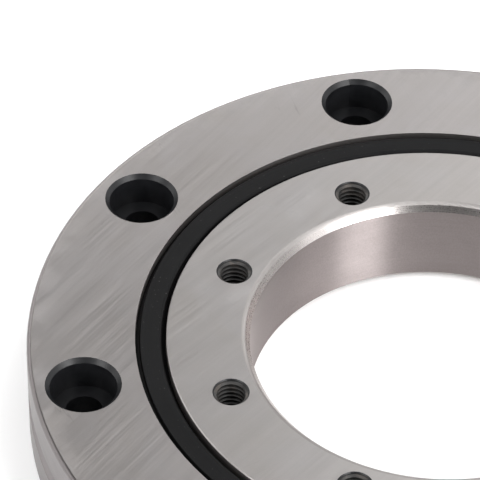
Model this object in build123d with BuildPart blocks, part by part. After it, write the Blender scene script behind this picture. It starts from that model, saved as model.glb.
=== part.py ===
"""Crossed-roller slewing ring bearing, bore 55, outside diameter 120, width 15 mm.

Two one-piece rings carry one row of cylindrical rollers in a 90 degree V raceway. The rollers' axes lean
45 degrees, one way and the other in turn, with a spacer retainer between each two. A rubber seal sits in each
face of the outer ring, and a plug locked by a taper pin closes the hole that the rollers are loaded through.

Frame: +Z is the bearing's axis, the origin is the centre of its lower face, and one of the outer ring's
counterbored holes is on +X.
"""

from build123d import *
import math
import os

os.makedirs("parts", exist_ok=True)

# ---------------------------------------------------------------- driving dimensions, mm and degrees
BORE_D = 55.0
OUTER_D = 120.0
WIDTH = 15.0

ROLLER_PCD = 85.0
ROLLER_D = 5.0
ROLLER_L = 4.8
ROLLER_CHAMFER = 0.3
ROLLER_COUNT = 40  # even, because the rollers cross in turn
RACE_CLEARANCE = 0.08  # from a roller's side to a raceway flank
SPACER_CLEARANCE = 0.12  # from a roller's side to a spacer's hollow
LAND_GAP = 0.7  # between the two rings' lands, across the pitch circle
RELIEF_HALF = 0.45  # half the width of the relief groove at a raceway's root
RELIEF_DEPTH = 0.6

BOLT_PCD = 105.0  # outer ring: counterbored through holes
BOLT_COUNT = 8
BOLT_HOLE_D = 5.5
CBORE_D = 9.8
CBORE_DEPTH = 5.3
CBORE_CHAMFER = 0.64
BOLT_EDGE_CHAMFER = 0.3  # at the lower face

TAP_PCD = 65.0  # inner ring: tapped through holes, M5 x 0.8
TAP_COUNT = 8
TAP_ANGLE = 9.768  # where the inner ring stands turned against the outer ring, at rest
TAP_MINOR_D = 4.2
TAP_MAJOR_D = 5.0
TAP_PITCH = 0.8
TAP_MOUTH_D = 5.35
TAP_GROOVES = 19  # the first and the last run out in the countersunk mouths

BORE_CHAMFER_R = 0.93  # the bore's wide lead-in, radial by axial
BORE_CHAMFER_Z = 1.2
BORE_CHAMFER_ROUND = 0.86  # where it runs into the ring's faces
RIM_ROUND = 0.75  # the outer ring's outer edges
EDGE_CHAMFER = 0.12  # the inner ring's edge of the seal recess; the outer ring's is left sharp

SEAL_RECESS_OUTER_R = 44.25  # the outer ring's wall of the seal recess
SEAL_RECESS_INNER_R = 39.7  # the inner ring's wall, which the lip runs on
SEAL_RECESS_DEPTH = 2.7
SEAL_SNAP_R = 44.75  # the undercut that the seal's heel snaps into
SEAL_FACE_DROP = 0.35  # the seal's flat face, under the ring faces
SEAL_FACE_OUTER_R = 43.5
SEAL_FACE_INNER_R = 40.3
SEAL_HEEL_ROUND = 0.12  # the flat face's outer edge
SEAL_LIP_ROUND = 0.5  # and its inner edge, over the lip
LIP_CLEARANCE = 0.08

GREASE_GROOVE_DEPTH = 0.5  # round the outside, hollowed to an arc
GREASE_GROOVE_HALF = 1.6
OIL_HOLE_D = 2.0
OIL_HOLE_ANGLES = (22.5, 112.5, 202.5)

PLUG_ANGLE = 292.5
PLUG_D = 5.4  # a roller goes in through this hole
PIN_R = 53.5  # where the taper pin crosses the plug
PIN_BOTTOM_R = 1.15
PIN_TAPER = 1 / 100  # radius per length, a 1:50 taper
PIN_INSET = 0.15  # the pin's ends, under the ring faces

# ---------------------------------------------------------------- worked-out dimensions
ZM = WIDTH / 2
BORE_R = BORE_D / 2
OUTER_R = OUTER_D / 2
PITCH_R = ROLLER_PCD / 2
ROLLER_R = ROLLER_D / 2
APEX = (ROLLER_R + RACE_CLEARANCE) * math.sqrt(2)  # from the pitch circle to a raceway's sharp root
OUTER_LAND_R = PITCH_R + LAND_GAP / 2
INNER_LAND_R = PITCH_R - LAND_GAP / 2
RACE_HALF = APEX - LAND_GAP / 2  # half the raceway's opening, along the axis
PITCH_ANGLE = 360 / ROLLER_COUNT
GREASE_GROOVE_R = (GREASE_GROOVE_HALF**2 + GREASE_GROOVE_DEPTH**2) / (2 * GREASE_GROOVE_DEPTH)
GREASE_GROOVE_AT = (OUTER_R - GREASE_GROOVE_DEPTH + GREASE_GROOVE_R, ZM)  # the arc's centre


def half_and_mirror(points):
    """The upper half of a ring's section, and its mirror image below the mid plane, as one closed outline."""
    return points + [(r, WIDTH - z) for r, z in reversed(points)]


def radial_plane(angle, distance):
    """The plane square to the radius at this angle, at this distance from the bearing's axis, at mid height."""
    a = math.radians(angle)
    out = Vector(math.cos(a), math.sin(a), 0)
    return Plane(
        origin=out * distance + Vector(0, 0, ZM),
        x_dir=Vector(-math.sin(a), math.cos(a), 0),
        z_dir=out,
    )


# Section of the outer ring, from the outside over the top face and down to the raceway's root.
outer_section = half_and_mirror(
    [
        (OUTER_R, WIDTH),
        (SEAL_RECESS_OUTER_R, WIDTH),
        (SEAL_RECESS_OUTER_R, WIDTH - 1.30),
        (SEAL_SNAP_R, WIDTH - 1.42),
        (SEAL_SNAP_R, WIDTH - 2.02),
        (SEAL_RECESS_OUTER_R, WIDTH - 2.14),
        (SEAL_RECESS_OUTER_R, WIDTH - SEAL_RECESS_DEPTH),
        (OUTER_LAND_R, WIDTH - SEAL_RECESS_DEPTH),
        (OUTER_LAND_R, ZM + RACE_HALF),
        (PITCH_R + APEX - RELIEF_HALF, ZM + RELIEF_HALF),
        (PITCH_R + APEX - RELIEF_HALF + RELIEF_DEPTH, ZM + RELIEF_HALF - 0.1),
    ]
)

# Section of the inner ring, from its raceway's root up to the top face and over to the bore.
inner_section = half_and_mirror(
    [
        (PITCH_R - APEX + RELIEF_HALF - RELIEF_DEPTH, ZM + RELIEF_HALF - 0.1),
        (PITCH_R - APEX + RELIEF_HALF, ZM + RELIEF_HALF),
        (INNER_LAND_R, ZM + RACE_HALF),
        (INNER_LAND_R, WIDTH - SEAL_RECESS_DEPTH),
        (SEAL_RECESS_INNER_R, WIDTH - SEAL_RECESS_DEPTH),
        (SEAL_RECESS_INNER_R, WIDTH - EDGE_CHAMFER),
        (SEAL_RECESS_INNER_R - EDGE_CHAMFER, WIDTH),
        (BORE_R + BORE_CHAMFER_R, WIDTH),
        (BORE_R, WIDTH - BORE_CHAMFER_Z),
    ]
)

# Section of the upper seal: the heel in the outer ring's undercut, a flat face, and the lip on the inner ring.
seal_section = [
    (SEAL_FACE_INNER_R, WIDTH - SEAL_FACE_DROP),
    (SEAL_FACE_OUTER_R, WIDTH - SEAL_FACE_DROP),
    (SEAL_FACE_OUTER_R + 0.15, WIDTH - 1.05),
    (SEAL_RECESS_OUTER_R - 0.02, WIDTH - 1.32),
    (SEAL_SNAP_R - 0.03, WIDTH - 1.46),
    (SEAL_SNAP_R - 0.03, WIDTH - 1.98),
    (SEAL_RECESS_OUTER_R - 0.02, WIDTH - 2.12),
    (SEAL_RECESS_OUTER_R - 0.02, WIDTH - SEAL_RECESS_DEPTH + 0.05),
    (OUTER_LAND_R + 0.10, WIDTH - SEAL_RECESS_DEPTH + 0.05),
    (OUTER_LAND_R - 0.15, WIDTH - 2.20),
    (41.10, WIDTH - 2.05),
    (40.62, WIDTH - 1.70),
    (40.05, WIDTH - 2.25),
    (SEAL_RECESS_INNER_R + LIP_CLEARANCE, WIDTH - 2.15),
    (SEAL_RECESS_INNER_R + LIP_CLEARANCE, WIDTH - 1.95),
    (40.40, WIDTH - 1.15),
]


# ---------------------------------------------------------------- outer ring
with BuildPart() as outer_ring:
    with BuildSketch(Plane.XZ):
        with BuildLine():
            Polyline(*outer_section, close=True)
        make_face()
    revolve(axis=Axis.Z)
    rims = outer_ring.edges().filter_by(
        lambda e: e.geom_type == GeomType.CIRCLE
        and abs(e.radius - OUTER_R) < 0.01
        and abs(abs(e.center().Z - ZM) - ZM) < 0.01
    )
    fillet(rims, RIM_ROUND)
    with BuildSketch(Plane.XZ):
        with Locations(GREASE_GROOVE_AT):
            Circle(GREASE_GROOVE_R)
    revolve(axis=Axis.Z, mode=Mode.SUBTRACT)

    # counterbored bolt holes, each with a broad chamfer at its mouth
    with Locations(Plane.XY.offset(WIDTH)):
        with PolarLocations(BOLT_PCD / 2, BOLT_COUNT):
            CounterBoreHole(
                radius=BOLT_HOLE_D / 2,
                counter_bore_radius=CBORE_D / 2,
                counter_bore_depth=CBORE_DEPTH,
            )
    round_edges = outer_ring.edges().filter_by(GeomType.CIRCLE)
    mouths = round_edges.filter_by(
        lambda e: abs(e.radius - CBORE_D / 2) < 0.01 and abs(e.center().Z - WIDTH) < 0.01
    )
    ends = round_edges.filter_by(
        lambda e: abs(e.radius - BOLT_HOLE_D / 2) < 0.01 and abs(e.center().Z) < 0.01
    )
    chamfer(mouths, CBORE_CHAMFER)
    chamfer(ends, BOLT_EDGE_CHAMFER)

    # the roller loading hole, and the oil holes from the grease groove to the raceway's root
    with BuildSketch(radial_plane(PLUG_ANGLE, PITCH_R - 1.0)):
        Circle(PLUG_D / 2)
    extrude(amount=OUTER_R - PITCH_R + 3.0, mode=Mode.SUBTRACT)
    for angle in OIL_HOLE_ANGLES:
        with BuildSketch(radial_plane(angle, PITCH_R + 1.5)):
            Circle(OIL_HOLE_D / 2)
        extrude(amount=OUTER_R - PITCH_R, mode=Mode.SUBTRACT)

    # the taper pin's hole, down through the plug's hole
    with Locations(
        (
            PIN_R * math.cos(math.radians(PLUG_ANGLE)),
            PIN_R * math.sin(math.radians(PLUG_ANGLE)),
            0,
        )
    ):
        Cone(
            bottom_radius=PIN_BOTTOM_R,
            top_radius=PIN_BOTTOM_R + PIN_TAPER * WIDTH,
            height=WIDTH,
            align=(Align.CENTER, Align.CENTER, Align.MIN),
            mode=Mode.SUBTRACT,
        )
outer_ring.part.label = "outer_ring"
export_step(outer_ring.part, "parts/outer_ring.step")

# ---------------------------------------------------------------- inner ring
# The form that a tapped hole takes out: countersunk mouths, and one groove of the thread's section for each turn.
minor_r, major_r, mouth_r = TAP_MINOR_D / 2, TAP_MAJOR_D / 2, TAP_MOUTH_D / 2
mouth_depth = mouth_r - major_r
flank = (major_r - minor_r) * math.tan(math.radians(30))
groove_points = []
for turn in range(TAP_GROOVES):
    z = ZM + TAP_PITCH * (turn - (TAP_GROOVES - 1) / 2)
    groove_points += [
        (minor_r, z - flank - 0.05),
        (major_r, z - 0.05),
        (major_r, z + 0.05),
        (minor_r, z + flank + 0.05),
    ]
thread_points = [
    (0, -1.0),
    (mouth_r + 1.0, -1.0),
    (major_r, mouth_depth),
    *groove_points[2:-2],
    (major_r, WIDTH - mouth_depth),
    (mouth_r + 1.0, WIDTH + 1.0),
    (0, WIDTH + 1.0),
]

with BuildPart() as thread_form:
    with BuildSketch(Plane.XZ):
        with BuildLine():
            Polyline(*thread_points, close=True)
        make_face()
    revolve(axis=Axis.Z)

with BuildPart() as inner_ring:
    with BuildSketch(Plane.XZ):
        with BuildLine():
            Polyline(*inner_section, close=True)
        make_face()
    revolve(axis=Axis.Z)
    lead_ins = inner_ring.edges().filter_by(
        lambda e: e.geom_type == GeomType.CIRCLE
        and abs(e.radius - BORE_R - BORE_CHAMFER_R) < 0.01
    )
    fillet(lead_ins, BORE_CHAMFER_ROUND)
    with PolarLocations(TAP_PCD / 2, TAP_COUNT, start_angle=TAP_ANGLE):
        add(thread_form.part, mode=Mode.SUBTRACT)
inner_ring.part.label = "inner_ring"
export_step(inner_ring.part, "parts/inner_ring.step")

# ---------------------------------------------------------------- seals
with BuildPart() as upper_seal:
    with BuildSketch(Plane.XZ):
        with BuildLine():
            Polyline(*seal_section, close=True)
        make_face()
    revolve(axis=Axis.Z)
    face_edges = upper_seal.edges().filter_by(
        lambda e: e.geom_type == GeomType.CIRCLE
        and abs(e.center().Z - (WIDTH - SEAL_FACE_DROP)) < 0.01
    )
    fillet(face_edges.filter_by(lambda e: abs(e.radius - SEAL_FACE_OUTER_R) < 0.01), SEAL_HEEL_ROUND)
    lip_edges = upper_seal.edges().filter_by(
        lambda e: e.geom_type == GeomType.CIRCLE
        and abs(e.center().Z - (WIDTH - SEAL_FACE_DROP)) < 0.01
        and abs(e.radius - SEAL_FACE_INNER_R) < 0.01
    )
    fillet(lip_edges, SEAL_LIP_ROUND)
upper_seal.part.label = "upper_seal"
export_step(upper_seal.part, "parts/upper_seal.step")

with BuildPart() as lower_seal:
    with BuildSketch(Plane.XZ):
        with BuildLine():
            Polyline(*[(r, WIDTH - z) for r, z in seal_section], close=True)
        make_face()
    revolve(axis=Axis.Z)
    face_edges = lower_seal.edges().filter_by(
        lambda e: e.geom_type == GeomType.CIRCLE
        and abs(e.center().Z - SEAL_FACE_DROP) < 0.01
    )
    fillet(face_edges.filter_by(lambda e: abs(e.radius - SEAL_FACE_OUTER_R) < 0.01), SEAL_HEEL_ROUND)
    lip_edges = lower_seal.edges().filter_by(
        lambda e: e.geom_type == GeomType.CIRCLE
        and abs(e.center().Z - SEAL_FACE_DROP) < 0.01
        and abs(e.radius - SEAL_FACE_INNER_R) < 0.01
    )
    fillet(lip_edges, SEAL_LIP_ROUND)
lower_seal.part.label = "lower_seal"
export_step(lower_seal.part, "parts/lower_seal.step")

# ---------------------------------------------------------------- loading plug and its taper pin
# The plug is the piece of the ring's own section that the loading hole takes out, so its inner end carries on the
# raceway and its outer end the outside of the ring.
with BuildPart() as loading_plug:
    with BuildSketch(Plane.XZ):
        with BuildLine():
            Polyline(*outer_section, close=True)
        make_face()
    revolve(axis=Axis.Z)
    with BuildSketch(Plane.XZ):
        with Locations(GREASE_GROOVE_AT):
            Circle(GREASE_GROOVE_R)
    revolve(axis=Axis.Z, mode=Mode.SUBTRACT)
    with BuildSketch(radial_plane(PLUG_ANGLE, PITCH_R - 1.0)):
        Circle(PLUG_D / 2)
    extrude(amount=OUTER_R - PITCH_R + 3.0, mode=Mode.INTERSECT)
    with Locations(
        (
            PIN_R * math.cos(math.radians(PLUG_ANGLE)),
            PIN_R * math.sin(math.radians(PLUG_ANGLE)),
            0,
        )
    ):
        Cone(
            bottom_radius=PIN_BOTTOM_R,
            top_radius=PIN_BOTTOM_R + PIN_TAPER * WIDTH,
            height=WIDTH,
            align=(Align.CENTER, Align.CENTER, Align.MIN),
            mode=Mode.SUBTRACT,
        )
loading_plug.part.label = "loading_plug"
export_step(loading_plug.part, "parts/loading_plug.step")

with BuildPart() as plug_taper_pin:
    with Locations(
        (
            PIN_R * math.cos(math.radians(PLUG_ANGLE)),
            PIN_R * math.sin(math.radians(PLUG_ANGLE)),
            PIN_INSET,
        )
    ):
        Cone(
            bottom_radius=PIN_BOTTOM_R + PIN_TAPER * PIN_INSET,
            top_radius=PIN_BOTTOM_R + PIN_TAPER * (WIDTH - PIN_INSET),
            height=WIDTH - 2 * PIN_INSET,
            align=(Align.CENTER, Align.CENTER, Align.MIN),
        )
    chamfer(plug_taper_pin.edges().filter_by(GeomType.CIRCLE), 0.2)
plug_taper_pin.part.label = "plug_taper_pin"
export_step(plug_taper_pin.part, "parts/plug_taper_pin.step")

# ---------------------------------------------------------------- spacer retainers
# A short puck between two rollers, hollowed on each side to the roller there. The two hollows are crossed, so the
# spacers are of two hands in turn.
HALF_SPACER = 1.6
SPACER_R = 2.2
half_pitch = math.radians(PITCH_ANGLE / 2)


def neighbour_plane(side, lean):
    """The plane square to a neighbouring roller's axis, through its centre, for a spacer on +X."""
    a = side * half_pitch
    out = Vector(math.cos(a), math.sin(a), 0)
    axis = (out + Vector(0, 0, lean)).normalized()
    return Plane(
        origin=out * PITCH_R + Vector(0, 0, ZM),
        x_dir=Vector(-math.sin(a), math.cos(a), 0),
        z_dir=axis,
    )


with BuildPart() as spacer_a:
    with BuildSketch(Plane(origin=(PITCH_R, 0, ZM), x_dir=(1, 0, 0), z_dir=(0, 1, 0))):
        Circle(SPACER_R)
    extrude(amount=HALF_SPACER, both=True)
    for side, lean in ((-1, 1), (1, -1)):
        with BuildSketch(neighbour_plane(side, lean)):
            Circle(ROLLER_R + SPACER_CLEARANCE)
        extrude(amount=ROLLER_D, both=True, mode=Mode.SUBTRACT)

with BuildPart() as spacer_b:
    with BuildSketch(Plane(origin=(PITCH_R, 0, ZM), x_dir=(1, 0, 0), z_dir=(0, 1, 0))):
        Circle(SPACER_R)
    extrude(amount=HALF_SPACER, both=True)
    for side, lean in ((-1, -1), (1, 1)):
        with BuildSketch(neighbour_plane(side, lean)):
            Circle(ROLLER_R + SPACER_CLEARANCE)
        extrude(amount=ROLLER_D, both=True, mode=Mode.SUBTRACT)

with BuildPart() as spacer_retainers:
    with PolarLocations(0, ROLLER_COUNT // 2, start_angle=PITCH_ANGLE / 2):
        add(spacer_a.part)
    with PolarLocations(0, ROLLER_COUNT // 2, start_angle=PITCH_ANGLE * 1.5):
        add(spacer_b.part)
spacer_retainers.part.label = "spacer_retainers"
export_step(spacer_retainers.part, "parts/spacer_retainers.step")

# ---------------------------------------------------------------- rollers
# Roller 1 stands on +X and leans outwards going up, roller 2 leans inwards, and so on round.
for i in range(ROLLER_COUNT):
    a = math.radians(PITCH_ANGLE * i)
    out = Vector(math.cos(a), math.sin(a), 0)
    lean = 1 if i % 2 == 0 else -1
    axis = (out + Vector(0, 0, lean)).normalized()
    with BuildPart() as roller:
        with BuildSketch(
            Plane(
                origin=out * PITCH_R + Vector(0, 0, ZM) - axis * (ROLLER_L / 2),
                x_dir=Vector(-math.sin(a), math.cos(a), 0),
                z_dir=axis,
            )
        ):
            Circle(ROLLER_R)
        extrude(amount=ROLLER_L)
        chamfer(roller.edges().filter_by(GeomType.CIRCLE), ROLLER_CHAMFER)
    name = f"roller_{i + 1:02d}"
    roller.part.label = name
    export_step(roller.part, f"parts/{name}.step")
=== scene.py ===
import math

import bpy
from mathutils import Matrix, Vector

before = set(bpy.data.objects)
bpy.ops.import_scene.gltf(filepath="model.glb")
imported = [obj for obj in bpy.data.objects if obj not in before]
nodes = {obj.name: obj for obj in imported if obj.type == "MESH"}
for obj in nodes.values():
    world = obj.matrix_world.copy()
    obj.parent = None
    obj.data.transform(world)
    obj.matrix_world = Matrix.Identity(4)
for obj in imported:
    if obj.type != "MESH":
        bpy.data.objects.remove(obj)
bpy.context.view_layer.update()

MM = 0.001

# ---------------------------------------------------------------- what the CAD says, in millimetres
RING_H = 15.0
BOLT_R, BOLT_N, BOLT_RIM, BOLT_HOLE = 52.5, 8, 5.54, 2.75
TAP_R, TAP_N, TAP_AT, TAP_RIM = 32.5, 8, 9.768, 2.675
PIN_R, PIN_AT = 53.5, 292.5
TURN = -17.152  # the photograph's view is worked out about +Y; the row's +X goes through a bolt hole


# ---------------------------------------------------------------- node helpers
class Mat:
    """A material with one Principled shader, and short ways to add nodes in front of it."""

    def __init__(self, name):
        self.mat = bpy.data.materials.new(name)
        self.mat.use_nodes = True
        self.t = self.mat.node_tree
        self.t.nodes.clear()
        self.out = self.t.nodes.new("ShaderNodeOutputMaterial")
        self.p = self.t.nodes.new("ShaderNodeBsdfPrincipled")
        self.t.links.new(self.p.outputs["BSDF"], self.out.inputs["Surface"])
        self.coord = self.t.nodes.new("ShaderNodeTexCoord").outputs["Object"]

    def set(self, **values):
        for k, v in values.items():
            s = self.p.inputs[k.replace("_", " ")]
            s.default_value = (*v, 1.0) if isinstance(v, tuple) and len(v) == 3 else v
        return self

    def put(self, socket, value):
        if isinstance(value, (int, float)):
            socket.default_value = value
        elif isinstance(value, tuple):
            socket.default_value = (*value, 1.0) if len(socket.default_value) == 4 and len(value) == 3 else value
        else:
            self.t.links.new(value, socket)

    def math(self, op, a, b=0.0, c=None, clamp=False):
        n = self.t.nodes.new("ShaderNodeMath")
        n.operation = op
        n.use_clamp = clamp
        self.put(n.inputs[0], a)
        self.put(n.inputs[1], b)
        if c is not None:
            self.put(n.inputs[2], c)
        return n.outputs[0]

    def mapping(self, scale, turn=0.0, shift=(0, 0, 0), vector=None):
        n = self.t.nodes.new("ShaderNodeMapping")
        n.vector_type = "POINT"
        # turned first, then stretched
        a = self.t.nodes.new("ShaderNodeVectorRotate")
        a.rotation_type = "Z_AXIS"
        a.inputs["Angle"].default_value = math.radians(turn)
        self.t.links.new(vector or self.coord, a.inputs["Vector"])
        self.t.links.new(a.outputs[0], n.inputs["Vector"])
        n.inputs["Scale"].default_value = tuple(1000.0 * s for s in scale)
        n.inputs["Location"].default_value = shift
        return n.outputs[0]

    def noise(self, vector, scale=1.0, detail=4.0, rough=0.55, distortion=0.0, kind="FBM"):
        n = self.t.nodes.new("ShaderNodeTexNoise")
        n.noise_dimensions = "3D"
        n.noise_type = kind
        self.t.links.new(vector, n.inputs["Vector"])
        n.inputs["Scale"].default_value = scale
        n.inputs["Detail"].default_value = detail
        n.inputs["Roughness"].default_value = rough
        n.inputs["Distortion"].default_value = distortion
        return n.outputs[0]

    def remap(self, value, low, high, to_low=0.0, to_high=1.0, smooth=False):
        n = self.t.nodes.new("ShaderNodeMapRange")
        n.interpolation_type = "SMOOTHSTEP" if smooth else "LINEAR"
        n.clamp = True
        self.put(n.inputs["Value"], value)
        for k, v in (("From Min", low), ("From Max", high), ("To Min", to_low), ("To Max", to_high)):
            n.inputs[k].default_value = v
        return n.outputs[0]

    def mix(self, factor, a, b, mode="MIX"):
        n = self.t.nodes.new("ShaderNodeMix")
        n.data_type = "RGBA"
        n.blend_type = mode
        n.clamp_factor = True
        self.put(n.inputs[0], factor)
        self.put(n.inputs[6], a)
        self.put(n.inputs[7], b)
        return n.outputs[2]

    def split(self, vector=None):
        n = self.t.nodes.new("ShaderNodeSeparateXYZ")
        self.t.links.new(vector or self.coord, n.inputs[0])
        return n.outputs

    def radius(self):
        """Distance from the bearing's axis, in millimetres."""
        x, y, _ = self.split()
        return self.math("MULTIPLY", self.math("SQRT", self.math("ADD", self.math("MULTIPLY", x, x), self.math("MULTIPLY", y, y))), 1000.0)

    def bump(self, height, distance_mm, strength=1.0, after=None):
        n = self.t.nodes.new("ShaderNodeBump")
        n.inputs["Strength"].default_value = strength
        n.inputs["Distance"].default_value = distance_mm * MM
        self.t.links.new(height, n.inputs["Height"])
        if after is not None:
            self.t.links.new(after, n.inputs["Normal"])
        return n.outputs[0]

    def to(self, name, value):
        self.t.links.new(value, self.p.inputs[name])
        return self


def thin_lines(m, vector, scale, width, where):
    """Sparse thin scratches: where one stretched noise crosses its middle value, kept only in places."""
    field = m.noise(vector, scale, 2.0, 0.4)
    line = m.remap(m.math("ABSOLUTE", m.math("SUBTRACT", field, 0.5)), 0.0, width, 1.0, 0.0)
    return m.math("MULTIPLY", line, where)


def ground_face(name, angle, tint=(0.600, 0.566, 0.545), rim=False):
    """A surface-ground steel face: long fine streaks one way, cloudy stains and a few scratches."""
    m = Mat(name).set(Metallic=1.0, IOR=2.5)
    fine = m.noise(m.mapping((0.055, 3.2, 1.0), angle), 1.0, 5.0, 0.62)
    broad = m.noise(m.mapping((0.030, 0.75, 1.0), angle - 2.0, (7.3, 1.1, 0)), 1.0, 3.0, 0.5)
    grain = m.noise(m.mapping((4.0, 4.0, 4.0), 0.0), 1.0, 2.0, 0.5)
    cloud = m.noise(m.mapping((0.085, 0.085, 0.085), 20.0, (3.7, 8.1, 0)), 1.0, 4.0, 0.6, 0.6)
    patch = m.noise(m.mapping((0.25, 0.25, 0.25), 50.0, (1.9, 4.4, 0)), 1.0, 3.0, 0.55)
    tone = m.math("ADD", m.remap(fine, 0.3, 0.7, -0.022, 0.022), m.remap(broad, 0.3, 0.7, -0.035, 0.030))
    tone = m.math("ADD", tone, m.remap(cloud, 0.3, 0.7, -0.045, 0.03))
    tone = m.math("ADD", tone, m.remap(grain, 0.3, 0.7, -0.012, 0.012))
    stain = m.math("MULTIPLY", m.remap(cloud, 0.55, 0.72, 0.0, 1.0, True), m.remap(patch, 0.48, 0.66, 0.0, 1.0, True))
    if rim:
        r = m.radius()
        band = m.remap(r, 55.2, 59.3, 0.0, 1.0, True)
        stain = m.math("MAXIMUM", stain, m.math("MULTIPLY", band, m.remap(patch, 0.42, 0.62, 0.0, 1.0, True)))
    some = m.remap(m.noise(m.mapping((0.11, 0.11, 0.11), 75.0, (5.0, 2.0, 0)), 1.0, 1.0, 0.5), 0.60, 0.68)
    scratch = thin_lines(m, m.mapping((0.05, 0.9, 1.0), angle + 14.0, (2.2, 9.1, 0)), 0.55, 0.006, some)
    other = m.remap(m.noise(m.mapping((0.09, 0.09, 0.09), 10.0, (9.0, 5.0, 0)), 1.0, 1.0, 0.5), 0.62, 0.70)
    scratch = m.math("MAXIMUM", scratch, thin_lines(m, m.mapping((0.06, 0.8, 1.0), angle - 58.0, (6.2, 3.1, 0)), 0.5, 0.006, other))
    bright = m.math("ADD", 1.0, tone)
    bright = m.math("SUBTRACT", bright, m.math("MULTIPLY", stain, 0.10))
    bright = m.math("SUBTRACT", bright, m.math("MULTIPLY", scratch, 0.16))
    grey = m.t.nodes.new("ShaderNodeCombineColor")
    for i in range(3):
        m.put(grey.inputs[i], bright)
    warm = m.mix(m.remap(cloud, 0.35, 0.65), tint, (tint[0] * 0.985, tint[1] * 0.995, tint[2] * 1.015))
    m.to("Base Color", m.mix(1.0, warm, grey.outputs[0], "MULTIPLY"))
    rough = m.math("ADD", m.remap(fine, 0.3, 0.7, 0.30, 0.38), m.math("MULTIPLY", stain, 0.08))
    m.to("Roughness", rough)
    height = m.math("ADD", m.math("MULTIPLY", fine, 1.0), m.math("MULTIPLY", grain, 0.25))
    m.to("Normal", m.bump(height, 0.0035, 0.55))
    return m.mat


def turned(name, tint, low, high, lines=5.0, depth=0.004, stretch=0.6, shade=0.05, speckle=0.03, sparkle=0.0):
    """Steel finished round the bearing's axis: fine rings, with gloss drawn out along the axis."""
    m = Mat(name).set(Metallic=1.0, IOR=2.5, Anisotropic=stretch, Anisotropic_Rotation=0.25)
    tangent = m.t.nodes.new("ShaderNodeTangent")
    tangent.direction_type = "RADIAL"
    tangent.axis = "Z"
    m.t.links.new(tangent.outputs[0], m.p.inputs["Tangent"])
    r = m.radius()
    x, y, z = m.split()
    along = m.t.nodes.new("ShaderNodeCombineXYZ")
    m.put(along.inputs[0], m.math("MULTIPLY", x, 40.0))
    m.put(along.inputs[1], m.math("MULTIPLY", y, 40.0))
    m.put(along.inputs[2], m.math("MULTIPLY", m.math("ADD", m.math("MULTIPLY", z, 1000.0), r), lines))
    rings = m.noise(along.outputs[0], 1.0, 4.0, 0.6)
    grain = m.noise(m.mapping((5.0, 5.0, 3.2)), 1.0, 2.0, 0.55)
    cloud = m.noise(m.mapping((0.10, 0.10, 0.16), 33.0, (1.0, 4.0, 2.0)), 1.0, 3.0, 0.55)
    bright = m.math("ADD", 1.0, m.remap(rings, 0.3, 0.7, -shade, shade))
    bright = m.math("ADD", bright, m.remap(cloud, 0.3, 0.7, -0.05, 0.05))
    bright = m.math("ADD", bright, m.remap(grain, 0.3, 0.7, -speckle, speckle))
    grey = m.t.nodes.new("ShaderNodeCombineColor")
    for i in range(3):
        m.put(grey.inputs[i], bright)
    m.to("Base Color", m.mix(1.0, tint, grey.outputs[0], "MULTIPLY"))
    m.to("Roughness", m.remap(m.math("ADD", m.math("MULTIPLY", rings, 0.7), m.math("MULTIPLY", grain, 0.3)), 0.3, 0.7, low, high))
    height = m.math("ADD", m.math("MULTIPLY", rings, 0.8), m.math("MULTIPLY", grain, 0.35))
    normal = m.bump(height, depth, 0.5)
    if sparkle:
        # short marks left by the hone, longer round the bore than along it
        around = m.math("MULTIPLY", m.math("ARCTAN2", y, x), 27.5)
        flake = m.t.nodes.new("ShaderNodeCombineXYZ")
        m.put(flake.inputs[0], m.math("MULTIPLY", around, 1.5))
        m.put(flake.inputs[1], m.math("MULTIPLY", z, 4200.0))
        normal = m.bump(m.noise(flake.outputs[0], 1.0, 2.0, 0.6), sparkle, 0.6, normal)
    m.to("Normal", normal)
    return m.mat


def oxide(name, dark, light, low, high, metallic=0.0, brown=None, painted_shade_deep=1.0, gloss=0.5):
    """Blackened steel inside a hole: drill rings, faint cloudy film, worn lighter here and there.
    The depth factor is what the colour is multiplied by at half the ring's height, deepest inside the hole: painted
    shade."""
    m = Mat(name).set(Metallic=metallic, IOR=1.6, Specular_IOR_Level=gloss)
    rings = m.noise(m.mapping((0.5, 0.5, 5.0)), 1.0, 3.0, 0.6)
    film = m.noise(m.mapping((0.5, 0.5, 0.5), 12.0, (4.0, 1.0, 7.0)), 1.0, 4.0, 0.6, 0.4)
    grain = m.noise(m.mapping((7.0, 7.0, 7.0)), 1.0, 2.0, 0.5)
    f = m.math("ADD", m.remap(rings, 0.35, 0.7, 0.0, 0.35), m.remap(film, 0.4, 0.75, 0.0, 0.65))
    colour = m.mix(f, dark, light)
    if brown:
        colour = m.mix(m.remap(film, 0.5, 0.68), colour, brown)
    # painted shade: the colour darkens towards half the ring's height, deepest inside the hole
    if painted_shade_deep < 1.0:
        z = m.split()[2]
        off = m.math("ABSOLUTE", m.math("SUBTRACT", m.math("MULTIPLY", z, 1000.0), RING_H / 2))
        shade = m.t.nodes.new("ShaderNodeCombineColor")
        for i in range(3):
            m.put(shade.inputs[i], m.remap(off, 3.0, 7.0, painted_shade_deep, 1.0))
        colour = m.mix(1.0, colour, shade.outputs[0], "MULTIPLY")
    m.to("Base Color", colour)
    m.to("Roughness", m.remap(m.math("ADD", m.math("MULTIPLY", film, 0.6), m.math("MULTIPLY", grain, 0.4)), 0.3, 0.7, low, high))
    m.to("Normal", m.bump(m.math("ADD", m.math("MULTIPLY", rings, 0.7), m.math("MULTIPLY", grain, 0.3)), 0.008, 0.5))
    return m.mat


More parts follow.
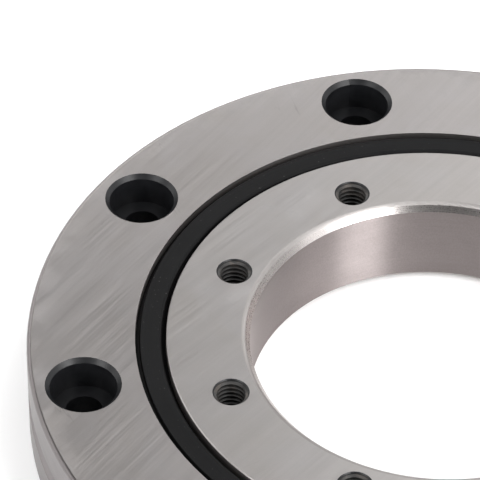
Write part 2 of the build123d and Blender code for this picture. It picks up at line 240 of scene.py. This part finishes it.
def rubber(name, dark, light, low, high):
    """Moulded nitrile rubber: fine matte grain, faint rings from the mould, a little dust."""
    m = Mat(name).set(Metallic=0.0, IOR=1.52, Specular_IOR_Level=0.12)
    r = m.radius()
    x, y, z = m.split()
    along = m.t.nodes.new("ShaderNodeCombineXYZ")
    m.put(along.inputs[0], m.math("MULTIPLY", x, 30.0))
    m.put(along.inputs[1], m.math("MULTIPLY", y, 30.0))
    m.put(along.inputs[2], m.math("MULTIPLY", m.math("ADD", m.math("MULTIPLY", z, 700.0), r), 3.0))
    rings = m.noise(along.outputs[0], 1.0, 3.0, 0.5)
    grain = m.noise(m.mapping((6.0, 6.0, 6.0)), 1.0, 3.0, 0.6)
    cloud = m.noise(m.mapping((0.12, 0.12, 0.12), 61.0, (2.0, 6.0, 1.0)), 1.0, 3.0, 0.6)
    dust = m.remap(m.noise(m.mapping((3.3, 3.3, 3.3), 17.0, (3.0, 0.5, 4.0)), 1.0, 1.0, 0.5), 0.74, 0.80)
    f = m.math("ADD", m.remap(cloud, 0.35, 0.7, 0.0, 0.6), m.remap(rings, 0.4, 0.7, 0.0, 0.4))
    colour = m.mix(f, dark, light)
    colour = m.mix(m.math("MULTIPLY", dust, 0.35), colour, (0.16, 0.155, 0.15))
    m.to("Base Color", colour)
    m.to("Roughness", m.remap(m.math("ADD", m.math("MULTIPLY", grain, 0.5), m.math("MULTIPLY", cloud, 0.5)), 0.3, 0.7, low, high))
    m.to("Normal", m.bump(m.math("ADD", m.math("MULTIPLY", grain, 0.6), m.math("MULTIPLY", rings, 0.6)), 0.010, 0.5))
    return m.mat


def moulded(name, dark, light):
    """Moulded spacer plastic: milky, with a fine matt grain."""
    m = Mat(name).set(Metallic=0.0, IOR=1.5)
    grain = m.noise(m.mapping((5.0, 5.0, 5.0)), 1.0, 3.0, 0.6)
    cloud = m.noise(m.mapping((0.6, 0.6, 0.6), 9.0), 1.0, 3.0, 0.5)
    m.to("Base Color", m.mix(m.remap(cloud, 0.35, 0.65), dark, light))
    m.to("Roughness", m.remap(grain, 0.3, 0.7, 0.42, 0.56))
    m.to("Normal", m.bump(grain, 0.010, 0.5))
    return m.mat


def roller_steel(name):
    """Hardened roller, finely ground: faint drifting bands and light handling marks."""
    m = Mat(name).set(Metallic=1.0, IOR=2.5)
    band = m.noise(m.mapping((1.6, 1.6, 2.4), 30.0), 1.0, 4.0, 0.6)
    grain = m.noise(m.mapping((9.0, 9.0, 9.0)), 1.0, 2.0, 0.5)
    m.to("Base Color", m.mix(m.remap(band, 0.35, 0.65), (0.62, 0.61, 0.60), (0.70, 0.69, 0.685)))
    m.to("Roughness", m.remap(m.math("ADD", m.math("MULTIPLY", band, 0.6), m.math("MULTIPLY", grain, 0.4)), 0.3, 0.7, 0.12, 0.20))
    m.to("Normal", m.bump(grain, 0.002, 0.4))
    return m.mat


# ---------------------------------------------------------------- materials
STEEL = (0.448, 0.421, 0.409)
face_outer = ground_face("ground_face_outer", -42.0, STEEL, rim=True)
face_inner = ground_face("ground_face_inner", -35.0, (0.480, 0.455, 0.440))
# painted shade: the side's colour is kept far darker than the faces' steel, for the dim floor it reflects
side_painted_shade = turned("ground_side_painted_shade", (0.205, 0.188, 0.187), 0.30, 0.40, 4.0, 0.004, 0.55)
# the pinkish tone is the bore's own; its darkness below the faces' steel is painted shade, for the dim floor it
# reflects inside the bore
bore_wall_painted_shade = turned("honed_bore_painted_shade", (0.308, 0.272, 0.267), 0.34, 0.42, 6.0, 0.005, 1.0, 0.05, 0.07, 0.020)
bore_edge = turned("turned_chamfer", (0.500, 0.468, 0.455), 0.24, 0.32, 7.0, 0.003, 0.55, 0.03)
bore_round = turned("rounded_lead_in", (0.400, 0.378, 0.368), 0.38, 0.46, 7.0, 0.003, 0.40, 0.03)
recess_steel = turned("turned_recess", (0.45, 0.42, 0.41), 0.30, 0.42, 5.0, 0.005, 0.4)
race_steel = turned("ground_raceway", (0.60, 0.585, 0.575), 0.10, 0.17, 6.0, 0.002, 0.3)
drilled = turned("drilled_steel", (0.40, 0.375, 0.36), 0.34, 0.46, 5.0, 0.006, 0.0)
black_bore = oxide("black_oxide", (0.0058, 0.0060, 0.0070), (0.0120, 0.0125, 0.0142), 0.28, 0.42, gloss=0.28)
black_thread = oxide("black_oxide_thread", (0.012, 0.0115, 0.011), (0.045, 0.041, 0.038), 0.34, 0.50, 0.35, (0.060, 0.050, 0.043), 0.42)
seal_black = rubber("nitrile_rubber", (0.0030, 0.0030, 0.0033), (0.0058, 0.0058, 0.0062), 0.42, 0.56)
spacer_cream = moulded("moulded_spacer", (0.70, 0.66, 0.56), (0.80, 0.76, 0.67))
roller_mat = roller_steel("roller_steel_ground")


def dress(obj, materials, pick):
    """Gives each face of a CAD node one of these materials. The shape is left as it is."""
    mesh = obj.data
    mesh.materials.clear()
    for m in materials:
        mesh.materials.append(m)
    co = [(v.co.x * 1000, v.co.y * 1000, v.co.z * 1000) for v in mesh.vertices]
    for poly in mesh.polygons:
        poly.material_index = pick([co[i] for i in poly.vertices], poly.normal)


def near_axis(p, radius, count, first):
    """Distance from a point to the nearest of a circle of holes' axes."""
    a = math.degrees(math.atan2(p[1], p[0]))
    step = 360.0 / count
    k = round((a - first) / step)
    b = math.radians(first + k * step)
    return math.hypot(p[0] - radius * math.cos(b), p[1] - radius * math.sin(b))


def flat_at(points, z):
    return all(abs(p[2] - z) < 0.004 for p in points)


def outer_pick(points, normal):
    if flat_at(points, RING_H) or flat_at(points, 0.0):
        return 0
    if all(near_axis(p, BOLT_R, BOLT_N, 0.0) < BOLT_RIM + 0.03 for p in points):
        return 2
    radii = [math.hypot(p[0], p[1]) for p in points]
    if min(radii) > 59.3:
        return 1
    if max(radii) < 46.5 and all(3.9 < p[2] < 11.1 for p in points):
        return 4
    if max(radii) < 44.9:
        return 3
    return 5


def inner_pick(points, normal):
    if flat_at(points, RING_H) or flat_at(points, 0.0):
        return 0
    from_tap = [near_axis(p, TAP_R, TAP_N, TAP_AT) for p in points]
    if max(from_tap) < TAP_RIM + 0.03:
        return 7 if min(from_tap) > 2.45 and all(abs(p[2] - RING_H / 2) > 7.3 for p in points) else 3
    radii = [math.hypot(p[0], p[1]) for p in points]
    if max(radii) < 27.52:
        return 1
    if max(radii) < 28.2:
        return 2
    if max(radii) < 29.6:
        return 6
    if all(3.9 < p[2] < 11.1 for p in points):
        return 5
    return 4


dress(nodes["outer_ring"], [face_outer, side_painted_shade, black_bore, recess_steel, race_steel, drilled], outer_pick)
dress(nodes["inner_ring"], [face_inner, bore_wall_painted_shade, bore_edge, black_thread, recess_steel, race_steel, bore_round, black_bore], inner_pick)
for name in ("upper_seal", "lower_seal"):
    dress(nodes[name], [seal_black], lambda p, n: 0)
dress(nodes["loading_plug"], [side_painted_shade, race_steel, drilled],
      lambda ps, n: 0 if min(math.hypot(p[0], p[1]) for p in ps) > 59.3 else 1 if max(math.hypot(p[0], p[1]) for p in ps) < 46.5 else 2)
dress(nodes["plug_taper_pin"], [drilled], lambda p, n: 0)
dress(nodes["spacer_retainers"], [spacer_cream], lambda p, n: 0)
for name in nodes:
    if name.startswith("roller_"):
        dress(nodes[name], [roller_mat], lambda p, n: 0)

# ---------------------------------------------------------------- camera
# Worked out with Z up, the bearing's centre on the axis and the view along +Y, then turned with the row.
turn = Matrix.Rotation(math.radians(TURN), 4, "Z")
CAM_AT = Vector((0.0, -348.91, 347.54 + RING_H)) * MM
CAM_AXES = Matrix((
    (0.99542379, -0.07377066, 0.06074013),
    (0.09482019, 0.68364639, -0.72362749),
    (0.01185771, 0.72607541, 0.68751283),
))
cam_data = bpy.data.cameras.new("camera")
cam_data.sensor_width = 36.0
cam_data.lens = 3374.3 / 480.0 * 36.0
cam_data.clip_start = 0.01
cam_data.clip_end = 20.0
cam_data.dof.use_dof = False
cam = bpy.data.objects.new("camera", cam_data)
bpy.context.scene.collection.objects.link(cam)
cam.matrix_world = turn @ Matrix.Translation(CAM_AT) @ CAM_AXES.to_4x4()
bpy.context.scene.camera = cam

# ---------------------------------------------------------------- floor
bpy.ops.mesh.primitive_circle_add(vertices=96, radius=3.0, fill_type="NGON", location=(0, 0, -0.00002))
floor = bpy.context.object
floor.name = "floor"
fm = Mat("floor_white").set(Roughness=0.9, Specular_IOR_Level=0.1, Emission_Color=(1.0, 1.0, 1.0), Emission_Strength=0.07)
speck = fm.noise(fm.mapping((0.05, 0.05, 0.05)), 1.0, 2.0, 0.5)
fm.to("Base Color", fm.mix(fm.remap(speck, 0.3, 0.7), (0.945, 0.945, 0.945), (0.955, 0.955, 0.955)))
floor.data.materials.append(fm.mat)


# ---------------------------------------------------------------- light
def softbox(name, azimuth, elevation, distance, width, height, power, colour=(1, 1, 1), aim=(0, 0, 0.01), spin=0.0):
    """An area light in a direction given in the camera's frame: azimuth 0 is to the right, -90 is towards the camera."""
    data = bpy.data.lights.new(name, "AREA")
    data.shape = "RECTANGLE"
    data.size = width
    data.size_y = height
    data.energy = power
    data.color = colour
    o = bpy.data.objects.new(name, data)
    bpy.context.scene.collection.objects.link(o)
    a, e = math.radians(azimuth), math.radians(elevation)
    at = Vector((math.cos(a) * math.cos(e), math.sin(a) * math.cos(e), math.sin(e))) * distance + Vector(aim)
    look = (Vector(aim) - at).to_track_quat("-Z", "Y").to_matrix().to_4x4()
    o.matrix_world = turn @ Matrix.Translation(at) @ look @ Matrix.Rotation(math.radians(spin), 4, "Z")
    return o


# A tent of soft panels, brightest to the left and right of the camera. The last number is the panel's brightness.
LOW, MIDDLE, HIGH = (22.0, 0.38, 0.38), (47.0, 0.26, 0.40), (70.0, 0.32, 0.34)
PANELS = (
    ("right_low_a", -42.0, LOW, 12.5),
    ("right_low_b", -18.0, LOW, 1.65),
    ("side_low_a", 6.0, LOW, 0.87),
    ("side_low_b", 30.0, LOW, 1.20),
    ("back_low_a", 54.0, LOW, 2.52),
    ("back_low_b", 102.0, LOW, 2.39),
    ("back_low_c", 126.0, LOW, 2.32),
    ("left_low_a", 150.0, LOW, 1.79),
    ("left_low_b", 174.0, LOW, 1.89),
    ("left_low_c", -162.0, LOW, 0.62),
    ("front_low", -138.0, LOW, 8.83),
    ("right_middle_a", -42.0, MIDDLE, 6.5),
    ("right_middle_b", -18.0, MIDDLE, 2.79),
    ("side_middle_a", 6.0, MIDDLE, 1.29),
    ("side_middle_b", 30.0, MIDDLE, 0.66),
    ("back_middle", 78.0, MIDDLE, 1.76),
    ("right_high", -60.0, HIGH, 1.4),
    ("side_high", 0.0, HIGH, 2.41),
    ("back_high", 60.0, HIGH, 2.55),
    ("left_high", 180.0, HIGH, 3.83),
    ("front_middle", -138.0, MIDDLE, 2.5),
    ("front_high", -120.0, HIGH, 1.0),
)
for label, azimuth, (elevation, width, height), glow in PANELS:
    softbox(label, azimuth, elevation, 0.9, width, height, glow * math.pi * width * height)

world = bpy.data.worlds.new("studio")
bpy.context.scene.world = world
world.use_nodes = True
bg = world.node_tree.nodes["Background"]
bg.inputs["Color"].default_value = (1.0, 1.0, 1.0, 1.0)
bg.inputs["Strength"].default_value = 0.12

bpy.context.scene.view_settings.view_transform = "Standard"
bpy.context.scene.view_settings.look = "None"
bpy.context.scene.view_settings.exposure = 0.0
bpy.context.scene.view_settings.gamma = 1.0
